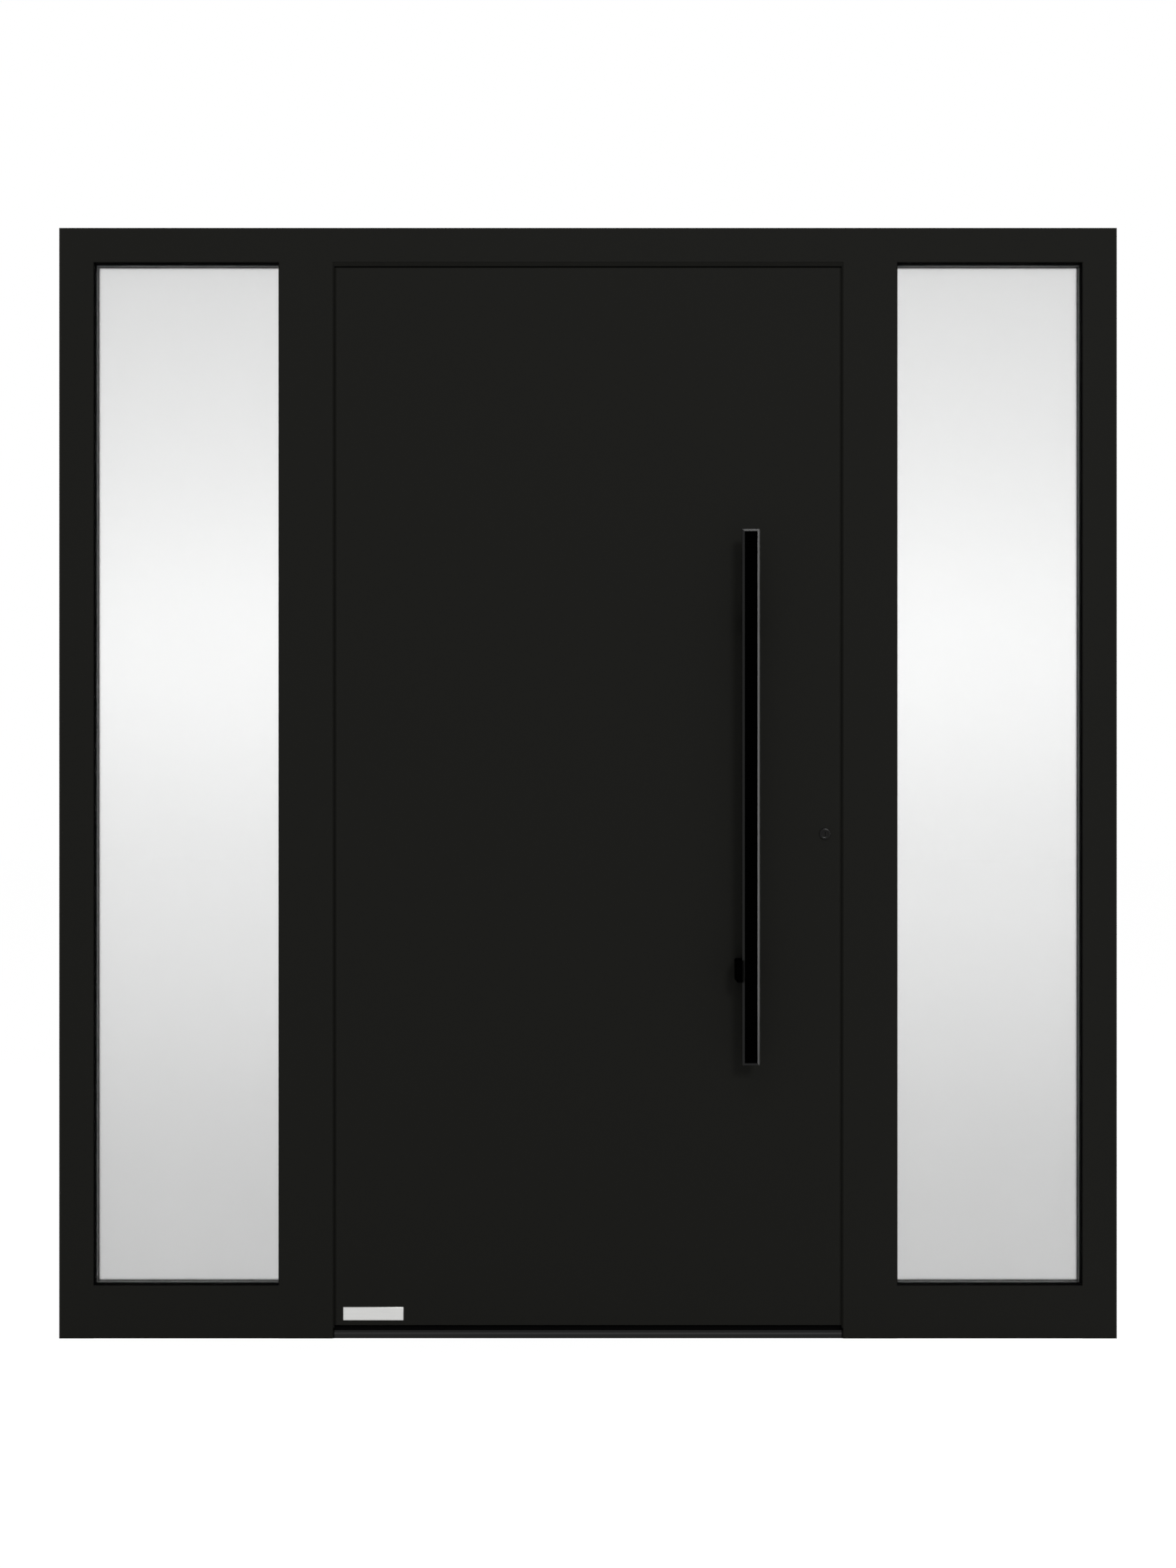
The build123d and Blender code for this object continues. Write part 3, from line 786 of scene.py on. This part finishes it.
@dataclass(frozen=True)
class LockTrim:
    """Screws of the lock's edge plate and keeps, and the caps over both ends of the cylinder."""

    plate_screw: Screw = Screw(0.0034, 0.0002, Drive.CROSS, sunk=0.0014)
    cylinder_screw: Screw = Screw(0.0036, 0.0002, Drive.HEX, sunk=0.0014)
    end_inset: float = 0.0120
    bolt_margin: float = 0.0160
    screw_turn: float = 17.0
    keep_inset: float = 0.0090
    keep_turns: tuple[float, float] = (25.0, 65.0)
    outside_radius: float = 0.00985
    inside_radius: float = 0.00785
    sunk: float = 0.0003
    slope_width: float = 0.0019
    slope_rise: float = 0.00036
    crest: float = 0.00035
    funnel_width: float = 0.0024
    funnel_fall: float = 0.00046
    plug_line: float = 0.00015
    key_width: float = 0.0018
    key_height: float = 0.0078

    def build(self) -> None:
        """Model the trim of the lock."""
        self.edge_screws()
        self.keep_screws()
        self.caps()

    def edge_screws(self) -> None:
        """Screw the edge plate on at its ends and beside each bolt, and hold the cylinder by one screw."""
        low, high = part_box("lock_faceplate")
        across = (low.y + high.y) / 2
        heights = [low.z + self.end_inset, high.z - self.end_inset]
        bolts = solids_of("lock_bolts")
        for foot, top in (bolts[0], bolts[1], bolts[-1]):
            heights.append(foot.z - self.bolt_margin)
        for foot, top in (bolts[0], bolts[2], bolts[-1]):
            heights.append(top.z + self.bolt_margin)
        turns = {height: self.screw_turn * step for step, height in enumerate(sorted(heights))}
        seats = [seat((high.x, across, height), (1.0, 0.0, 0.0), turn) for height, turn in turns.items()]
        self.plate_screw.build("edge_plate_screws", seats, LOCK_STEEL, Body.LEAF, "lock_steel")
        between = (bolts[1][1].z + bolts[2][0].z) / 2
        holder = [seat((high.x, across, between), (1.0, 0.0, 0.0))]
        self.cylinder_screw.build("cylinder_screw", holder, LOCK_STEEL, Body.LEAF, "lock_steel")

    def keep_screws(self) -> None:
        """Screw each keep on near both of its ends."""
        seats = []
        for low, high in solids_of("strike_plates"):
            across = (low.y + high.y) / 2
            heights = (low.z + self.keep_inset, high.z - self.keep_inset)
            for height, turn in zip(heights, self.keep_turns):
                seats.append(seat((low.x, across, height), (-1.0, 0.0, 0.0), turn))
        self.plate_screw.build("keep_screws", seats, LOCK_STEEL, Body.FRAME, "lock_steel")

    def caps(self) -> None:
        """Set a domed cap with a plug and its keyway over the dish at each end of the cylinder."""
        low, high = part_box("lock_cylinder")
        across = (low.x + high.x) / 2
        height = high.z - (high.x - low.x) / 2
        outside = seat((across, low.y + self.sunk, height), (0.0, -1.0, 0.0))
        inside = seat((across, high.y - self.sunk, height), (0.0, 1.0, 0.0))
        self.cap("outside_cylinder_cap", self.outside_radius, outside)
        self.cap("inside_cylinder_cap", self.inside_radius, inside)

    def cap(self, name: str, radius: float, place: Matrix) -> None:
        """Model one cap that rises to a crest and falls as a funnel to the plug.

        Args:
            name: the piece's name.
            radius: its radius.
            place: where its foot sits.
        """
        size = radius / self.outside_radius
        cap = Shape.round(name, radius, self.sunk, sides=96)
        cap.pick_faces(lambda middle, normal: normal.z > FACING)
        steps = (
            (self.slope_width, self.slope_rise),
            (self.crest, 0.0),
            (self.funnel_width, -self.funnel_fall),
            (self.plug_line, -self.plug_line),
            (self.plug_line, self.plug_line),
        )
        cap.terrace((width * size, rise * size) for width, rise in steps)
        key, reach = self.key_width / 2, self.key_height / 2
        deep = self.sunk + 2 * self.slope_rise
        cap.cut(Shape.block("key", (-key, -reach, -deep), (key, reach, deep)))
        cap.repeat([place])
        cap.fit(CYLINDER_METAL, Body.LEAF, "cylinder_metal")


@dataclass(frozen=True)
class LeverTrim:
    """The bearing collar round the lever's neck and the grub screws under both rosettes."""

    collar_radius: float = 0.0140
    collar_height: float = 0.0022
    collar_step: float = 0.00112
    collar_rise: float = 0.00044
    collar_edge: float = 0.00044
    neck_play: float = 0.0003
    neck_width: float = 0.0100
    neck_height: float = 0.0200
    grub: Screw = Screw(0.0016, 0.0001, Drive.HEX, sunk=0.0020)

    def build(self) -> None:
        """Model the collar and the grub screws."""
        low, high = solids_of("inside_rosettes")[-1]
        middle = (low + high) / 2
        collar = Shape.round("lever_collar", self.collar_radius, self.collar_height)
        collar.pick_faces(lambda middle, normal: normal.z > FACING)
        collar.inset(self.collar_step)
        collar.push((0.0, 0.0, self.collar_rise))
        collar.soften(self.collar_edge)
        across, rise = self.neck_width / 2 + self.neck_play, self.neck_height / 2 + self.neck_play
        reach = 2 * self.collar_height
        collar.cut(Shape.block("neck", (-across, -rise, -reach), (across, rise, reach)))
        collar.repeat([seat((middle.x, high.y, middle.z), (0.0, 1.0, 0.0))])
        collar.fit(BAR_COAT, Body.LEAF, "bar_coat")
        feet = [((foot + top) / 2, foot.z) for foot, top in solids_of("inside_rosettes")]
        seats = [seat((place.x, place.y, foot), (0.0, 0.0, -1.0)) for place, foot in feet]
        self.grub.build("rosette_grub_screws", seats, LOCK_STEEL, Body.LEAF, "lock_steel")


@dataclass(frozen=True)
class Glazing:
    """The black rubber that shows beside the glass: a liner in the outer reveal and a lip on the inside."""

    liner_reach: float = 0.0010
    liner_setback: float = 0.0015
    lip_reach: float = 0.0008
    lip_depth: float = 0.0022
    round_edge: float = 0.0004

    def build(self) -> None:
        """Model the liner and the lip of both sidelights."""
        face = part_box("head_outer")[0].y
        for side in ("left", "right"):
            low, high = self.sight(side)
            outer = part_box(f"{side}_outer_pane")[0].y
            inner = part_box(f"{side}_inner_pane")[1].y
            skirt = face + self.liner_setback - outer
            self.loop(f"{side}_reveal_liner", low, high, outer, self.liner_reach, skirt, LINER_RUBBER)
            self.loop(f"{side}_inner_lip", low, high, inner, self.lip_reach, self.lip_depth, SEAL_RUBBER)

    @staticmethod
    def sight(side: str) -> tuple[Vector, Vector]:
        """Find the corners of the glass that shows between the profiles.

        Args:
            side: which of the two sidelights.

        Returns:
            Its lowest and its highest corner.
        """
        members = ("jamb_outer", "mullion_outer") if side == "left" else ("mullion_outer", "jamb_outer")
        left, right = (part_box(f"{side}_{member}") for member in members)
        rail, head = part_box(f"{side}_bottom_rail_outer"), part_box("head_outer")
        return Vector((left[1].x, 0.0, rail[1].z)), Vector((right[0].x, 0.0, head[0].z))

    def loop(
        self, name: str, low: Vector, high: Vector, face: float, reach: float, depth: float, finish: Finish
    ) -> None:
        """Model one rounded loop on the glass.

        Args:
            name: the piece's name.
            low: the lowest corner of the glass that shows.
            high: its highest corner.
            face: the glass's face.
            reach: how far the loop covers the glass.
            depth: how far it stands off the glass, towards the inside.
            finish: its finish.
        """
        loop = Shape.sheet(name, (low.x, face, low.z), (high.x, face, high.z))
        middle = (low + high) / 2
        loop.pick_faces(lambda place, normal: True)
        loop.inset(reach)
        loop.pick_faces(lambda place, normal: abs(place.x - middle.x) + abs(place.z - middle.z) < reach)
        loop.drop()
        loop.pick_faces(lambda place, normal: True)
        loop.push((0.0, depth, 0.0))
        loop.close()
        loop.soften(self.round_edge, segments=3)
        loop.fit(finish, Body.FRAME, "gasket")


@dataclass(frozen=True)
class GapLips:
    """The rubber lips in the shadow gap round the leaf, which leave a thin line open; their darker tone is
    partly painted shade of the gap.
    """

    setback: float = 0.0007
    depth: float = 0.0030
    side_line: float = 0.0010
    top_line: float = 0.0022
    round_edge: float = 0.0006

    def build(self) -> None:
        """Model a lip on each edge of the upright gaps, and one on the head over the leaf."""
        low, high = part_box("leaf_outer_skin")
        left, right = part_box("left_mullion_outer")[1].x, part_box("right_mullion_outer")[0].x
        sill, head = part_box("threshold_break")[1].z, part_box("head_outer")[0].z
        tip = high.z + self.top_line
        reach = (low.x - left - self.side_line) / 2
        self.lip("left_frame_lip", (left, left + reach), (sill, tip), Body.FRAME)
        self.lip("left_leaf_lip", (low.x - reach, low.x), (low.z, high.z), Body.LEAF)
        self.lip("right_leaf_lip", (high.x, high.x + reach), (low.z, high.z), Body.LEAF)
        self.lip("right_frame_lip", (right - reach, right), (sill, tip), Body.FRAME)
        self.lip("top_frame_lip", (left, right), (tip, head), Body.FRAME)

    def lip(self, name: str, across: tuple[float, float], rise: tuple[float, float], body: Body) -> None:
        """Model one lip with rounded edges.

        Args:
            name: the piece's name.
            across: its left and right edge.
            rise: its foot and its top.
            body: the body that carries it.
        """
        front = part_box("head_outer")[0].y + self.setback
        lip = Shape.block(name, (across[0], front, rise[0]), (across[1], front + self.depth, rise[1]))
        lip.soften(self.round_edge, segments=3)
        lip.fit(GAP_RUBBER_AND_SHADE, body, "gasket")


@dataclass(frozen=True)
class JointFillers:
    """The coated filler in the edge of a profile where another one butts against it, dressed flush."""

    edge: float = 0.0008

    def build(self) -> None:
        """Fill both ends of the bottom rails and the tops of the mullions."""
        for side in ("left", "right"):
            low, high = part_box(f"{side}_bottom_rail_outer")
            self.upright(f"{side}_rail_left_filler", low.x, -self.edge, (low.z, high.z - self.edge))
            self.upright(f"{side}_rail_right_filler", high.x, self.edge, (low.z, high.z - self.edge))
            low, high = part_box(f"{side}_mullion_outer")
            self.level(f"{side}_mullion_filler", (low.x + self.edge, high.x - self.edge), high.z)

    def upright(self, name: str, joint: float, reach: float, rise: tuple[float, float]) -> None:
        """Model the filler of an upright joint.

        Args:
            name: the piece's name.
            joint: where the joint stands across the door.
            reach: how far the filler goes from there, with its sign.
            rise: its foot and its top.
        """
        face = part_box("head_outer")[0].y
        near, far = sorted((joint, joint + reach))
        filler = Shape.block(name, (near, face, rise[0]), (far, face + self.edge, rise[1]))
        self.point(filler, (0.0, 1.0, 1.0), (joint, face + self.edge, rise[0]))

    def level(self, name: str, across: tuple[float, float], joint: float) -> None:
        """Model the filler of a level joint.

        Args:
            name: the piece's name.
            across: its left and right end.
            joint: the joint's height.
        """
        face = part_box("head_outer")[0].y
        back = face + self.edge
        filler = Shape.block(name, (across[0], face, joint), (across[1], back, joint + self.edge))
        self.point(filler, (1.0, 1.0, 0.0), (across[0], back, joint))

    @staticmethod
    def point(filler: Shape, factors: Place, middle: Place) -> None:
        """Draw the back of a filler together to one edge, and coat it."""
        filler.pick_faces(lambda place, normal: normal.y > FACING)
        filler.squeeze(factors, middle)
        filler.close()
        filler.fit(POWDER_COAT, Body.FRAME, "coat")


@dataclass(frozen=True)
class ThresholdEnds:
    """The black plugs that close the ends of the threshold's nose; their near-black stands in part for
    painted shade in the end gaps.
    """

    setback: float = 0.0012
    depth: float = 0.0055
    round_edge: float = 0.0004

    def build(self) -> None:
        """Model a plug between each end of the nose and the mullion beside it."""
        low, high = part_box("threshold_outer")
        left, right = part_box("left_mullion_outer")[1].x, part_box("right_mullion_outer")[0].x
        front = low.y + self.setback
        ends = {"left_threshold_plug": (left, low.x), "right_threshold_plug": (high.x, right)}
        for name, (near, far) in ends.items():
            plug = Shape.block(name, (near, front, low.z), (far, front + self.depth, high.z))
            plug.soften(self.round_edge)
            # The near-black finish here is partly painted shade of the gaps beside the mullions.
            plug.fit(BREAK_PLASTIC_AND_SHADE, Body.FRAME, "insulating_bar")


@dataclass(frozen=True)
class SillScrews:
    """The countersunk screws that hold the inner part of the threshold down."""

    screw: Screw = Screw(0.0045, 0.0002, Drive.CROSS, sunk=0.0030)
    end_inset: float = 0.0800
    depth_share: float = 0.4
    screw_turn: float = 31.0
    count: int = 4

    def build(self) -> None:
        """Set the screws in a row along the middle of the threshold's flat top."""
        low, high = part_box("threshold_inner")
        first, last = low.x + self.end_inset, high.x - self.end_inset
        step = (last - first) / (self.count - 1)
        across = low.y + self.depth_share * (high.y - low.y)
        seats = [
            seat((first + number * step, across, high.z), (0.0, 0.0, 1.0), self.screw_turn * number)
            for number in range(self.count)
        ]
        self.screw.build("sill_screws", seats, LOCK_STEEL, Body.FRAME, "lock_steel")


@dataclass(frozen=True)
class BarePlate:
    """The small bare plate at the foot of the leaf, on its hinge side."""

    left: float = -0.4625
    right: float = -0.3490
    bottom: float = 0.0350
    top: float = 0.0595
    thickness: float = 0.0012
    rim: float = 0.0016
    rim_height: float = 0.0003
    rim_slope: float = 0.0002
    round_edge: float = 0.0002

    def build(self) -> None:
        """Model the plate with a raised rim and softened edges."""
        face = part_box("leaf_outer_skin")[0].y
        front = face - self.thickness
        plate = Shape.block("bare_plate", (self.left, front, self.bottom), (self.right, face, self.top))
        plate.soften(self.round_edge)
        plate.pick_faces(lambda middle, normal: normal.y < -FACING)
        plate.inset(self.rim)
        plate.inset(self.rim_slope)
        plate.shift((0.0, self.rim_height, 0.0))
        plate.fit(PLATE_STEEL, Body.LEAF, "lock_steel")


class Dressing:
    """The finishes of the solids themselves."""

    def build(self, frame: dict[str, Any]) -> None:
        """Give each solid the finish of its material slot.
        """
        for row in frame["record"]["subparts"]:
            SLOT_FINISHES[row["material_slot"]].dress(frame["nodes"][row["node"]])
            log.info("%s: %s", row["node"], SLOT_FINISHES[row["material_slot"]].name)


@dataclass(frozen=True)
class Lamp:
    """A square or oblong soft box."""

    name: str
    place: Place
    aim: Place
    width: float
    height: float
    power: float

    def build(self) -> None:
        """Hang the lamp and turn it to its aim."""
        light = bpy.data.lights.new(self.name, "AREA")
        light.shape = "RECTANGLE"
        light.size = self.width
        light.size_y = self.height
        light.energy = self.power
        lamp = bpy.data.objects.new(self.name, light)
        lamp.location = self.place
        lamp.rotation_euler = (Vector(self.aim) - Vector(self.place)).to_track_quat("-Z", "Y").to_euler()
        lamp.visible_camera = False
        bpy.context.scene.collection.objects.link(lamp)


@dataclass(frozen=True)
class Studio:
    """The camera, the white surroundings and the lamps."""

    picture_width: int = 1350
    picture_height: int = 1800
    door_foot_row: float = 1536.6
    metres_per_pixel: float = 0.001647
    distance: float = 4.75
    sensor: float = 36.0
    ambient: float = 0.5
    floor_reach: float = 60.0
    floor_glow: float = 1.075
    floor_share: float = 0.88
    floor_colour: Colour = (0.8, 0.8, 0.8)
    lamps: tuple[Lamp, ...] = (
        Lamp("key_lamp", (4.7, -20.0, 8.7), (0.1, 0.0, 1.0), 4.0, 4.0, 1480.0),
        Lamp("fill_lamp", (-1.0, -5.0, 6.3), (-0.2, 0.0, 1.0), 4.0, 2.5, 72.0),
        Lamp("right_lamp", (3.0, 0.06, 1.1), (0.3, 0.06, 1.1), 0.5, 1.8, 42.0),
        Lamp("top_lamp", (0.45, 0.18, 4.0), (0.45, 0.18, 1.5), 0.9, 0.5, 22.0),
        Lamp("low_hall_lamp", (0.0, 4.6, 1.58), (0.0, 0.0, 1.58), 6.0, 0.6, 18.5),
        Lamp("tall_hall_lamp", (0.0, 4.6, 1.57), (0.0, 0.0, 1.57), 6.0, 3.2, 37.5),
    )

    def build(self) -> None:
        """Set up everything that isn't part of the door."""
        self.camera()
        self.surroundings()
        self.floor()
        for lamp in self.lamps:
            lamp.build()
        bpy.context.scene.view_settings.view_transform = "Standard"

    def camera(self) -> None:
        """Stand the camera straight in front of the door, where the picture was taken from."""
        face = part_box("leaf_outer_skin")[0].y
        view = bpy.data.cameras.new("camera")
        view.sensor_width = self.sensor
        view.lens = self.sensor * self.distance / (self.picture_height * self.metres_per_pixel)
        camera = bpy.data.objects.new("camera", view)
        height = (self.door_foot_row - self.picture_height / 2) * self.metres_per_pixel
        camera.location = (0.0, face - self.distance, height)
        camera.rotation_euler = (math.pi / 2, 0.0, 0.0)
        bpy.context.scene.collection.objects.link(camera)
        bpy.context.scene.camera = camera

    def surroundings(self) -> None:
        """Make the world white where it is seen, and a plain ambient light elsewhere."""
        world = bpy.data.worlds.new("white_surroundings")
        tree = Tree(world)
        strength = tree.seen().spread(self.ambient, 1.0)
        white = (1.0, 1.0, 1.0, 1.0)
        glow = tree.node("ShaderNodeBackground", sockets={"Color": white, "Strength": strength})
        tree.close(glow, "ShaderNodeOutputWorld")
        bpy.context.scene.world = world

    def floor(self) -> None:
        """Lay a pale floor that keeps a soft shadow and runs out into the white."""
        Shape.rest()
        bpy.ops.mesh.primitive_plane_add(size=self.floor_reach, location=(0.0, 0.0, -MILLIMETRE))
        floor = bpy.context.object
        floor.name = "floor"
        pale = bpy.data.materials.new("pale_floor")
        tree = Tree(pale)
        matt = tree.node("ShaderNodeBsdfDiffuse", sockets={"Color": (*self.floor_colour, 1.0)})
        glow = tree.node("ShaderNodeEmission", sockets={"Strength": self.floor_glow})
        share = tree.seen() * self.floor_share
        tree.close(tree.node("ShaderNodeMixShader", sockets={0: share, 1: matt, 2: glow}))
        floor.data.materials.append(pale)


def main() -> None:
    """Dress the door, add its fittings and set up the studio."""
    logging.basicConfig(level=logging.INFO, format="%(message)s")
    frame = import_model()
    Dressing().build(frame)
    BarePlate().build()
    HingeTrim().build(Vector(frame["joints"][0]["pos_m"]))
    LockTrim().build()
    LeverTrim().build()
    Glazing().build()
    GapLips().build()
    JointFillers().build()
    ThresholdEnds().build()
    SillScrews().build()
    Studio().build()


if __name__ == "__main__":
    main()
